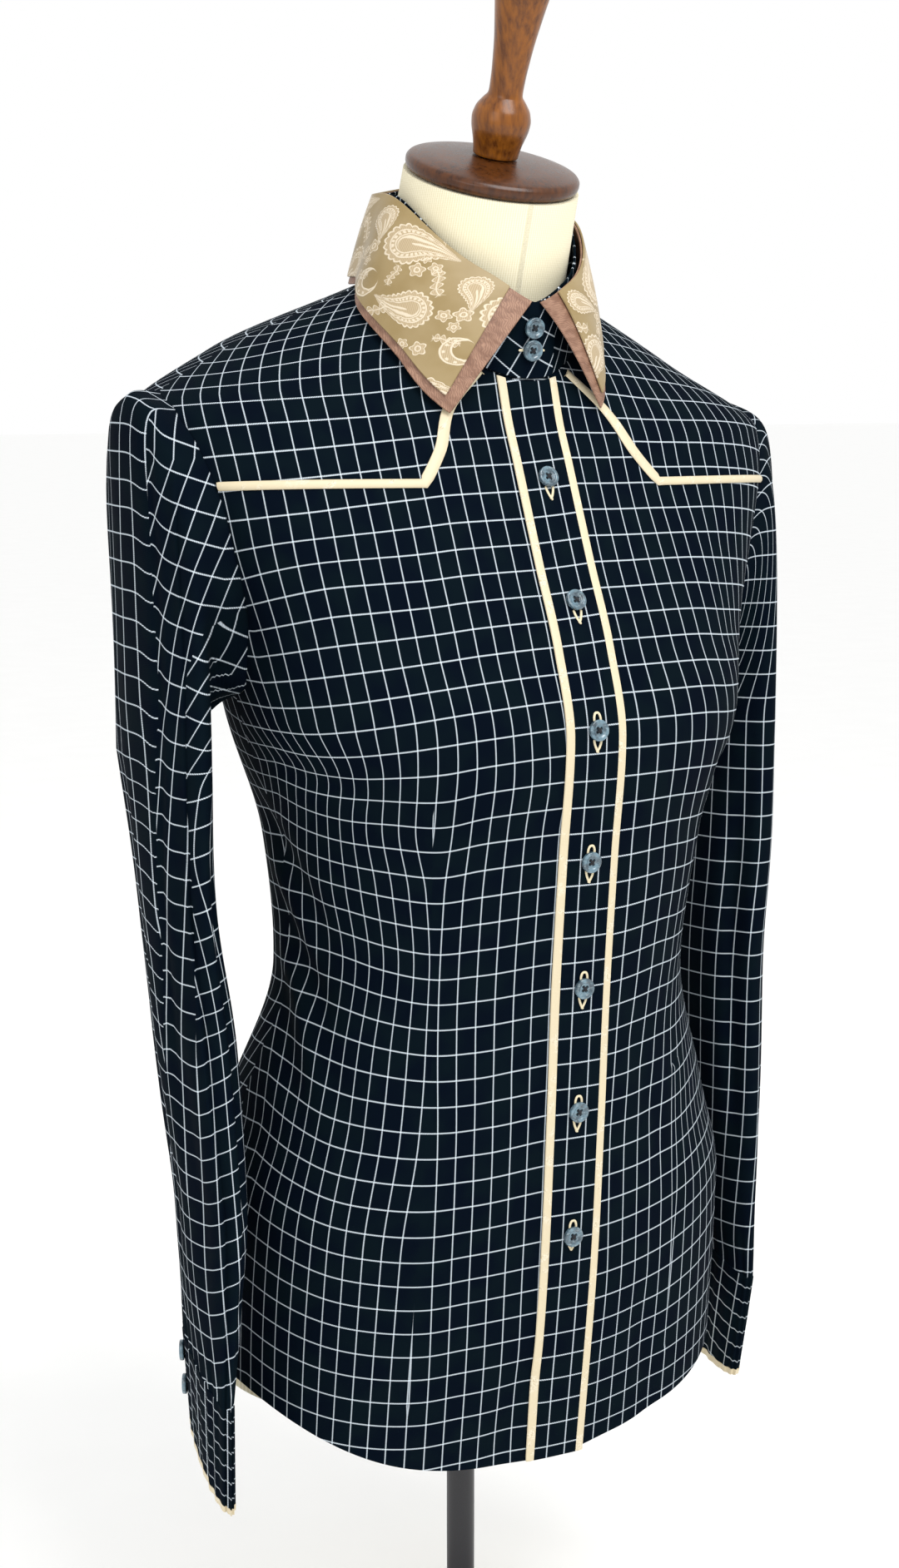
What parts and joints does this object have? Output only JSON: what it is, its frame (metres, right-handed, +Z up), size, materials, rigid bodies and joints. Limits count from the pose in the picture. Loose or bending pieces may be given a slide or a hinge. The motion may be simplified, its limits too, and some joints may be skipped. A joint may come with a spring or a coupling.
{
  "type": "western shirt on dress form",
  "caption": "Long-sleeved fitted western shirt with pointed yokes, piped placket and layered collar, buttoned closed on a limbless dress form with a turned neck cap and a pole stand.",
  "frame": {"origin": "centre of the stand base's underside, on the floor", "axes": "+Z up along the pole; the shirt's front faces -Y; +X is the wearer's left"},
  "size_m": [0.4539, 0.2926, 1.0991],
  "materials": {
    "check_cloth": "matt twill, near-black green with a fine off-white windowpane check",
    "gold_brocade": "satin brocade, pale gold leaf and drop figures on an olive-gold ground",
    "taupe_brocade": "satin ribbed brocade, taupe brown",
    "blue_pearl": "glossy grey-blue pearl",
    "cream_jersey": "matt cream ribbed jersey",
    "turned_wood": "varnished brown wood with a soft shine",
    "painted_metal": "satin black paint"
  },
  "bodies": {
    "root": {"back": "check_cloth", "back_yoke": "check_cloth", "button_1": "blue_pearl", "button_2": "blue_pearl", "button_3": "blue_pearl", "button_4": "blue_pearl", "button_5": "blue_pearl", "button_6": "blue_pearl", "button_7": "blue_pearl", "collar_stand": "check_cloth", "collar_top": "gold_brocade", "collar_under": "taupe_brocade", "cuff_button_left_1": "blue_pearl", "cuff_button_left_2": "blue_pearl", "cuff_button_right_1": "blue_pearl", "cuff_button_right_2": "blue_pearl", "cuff_left": "check_cloth", "cuff_piping_left": "gold_brocade", "cuff_piping_right": "gold_brocade", "cuff_right": "check_cloth", "form_cap": "turned_wood", "form_finial": "turned_wood", "form_torso": "cream_jersey", "front_left": "check_cloth", "front_right": "check_cloth", "front_yoke_left": "check_cloth", "front_yoke_right": "check_cloth", "placket": "check_cloth", "placket_stripe_left": "gold_brocade", "placket_stripe_right": "gold_brocade", "sleeve_left": "check_cloth", "sleeve_right": "check_cloth", "stand_base": "turned_wood", "stand_button_1": "blue_pearl", "stand_button_2": "blue_pearl", "stand_pole": "painted_metal", "yoke_piping_left": "gold_brocade", "yoke_piping_right": "gold_brocade"}
  },
  "joints": []
}
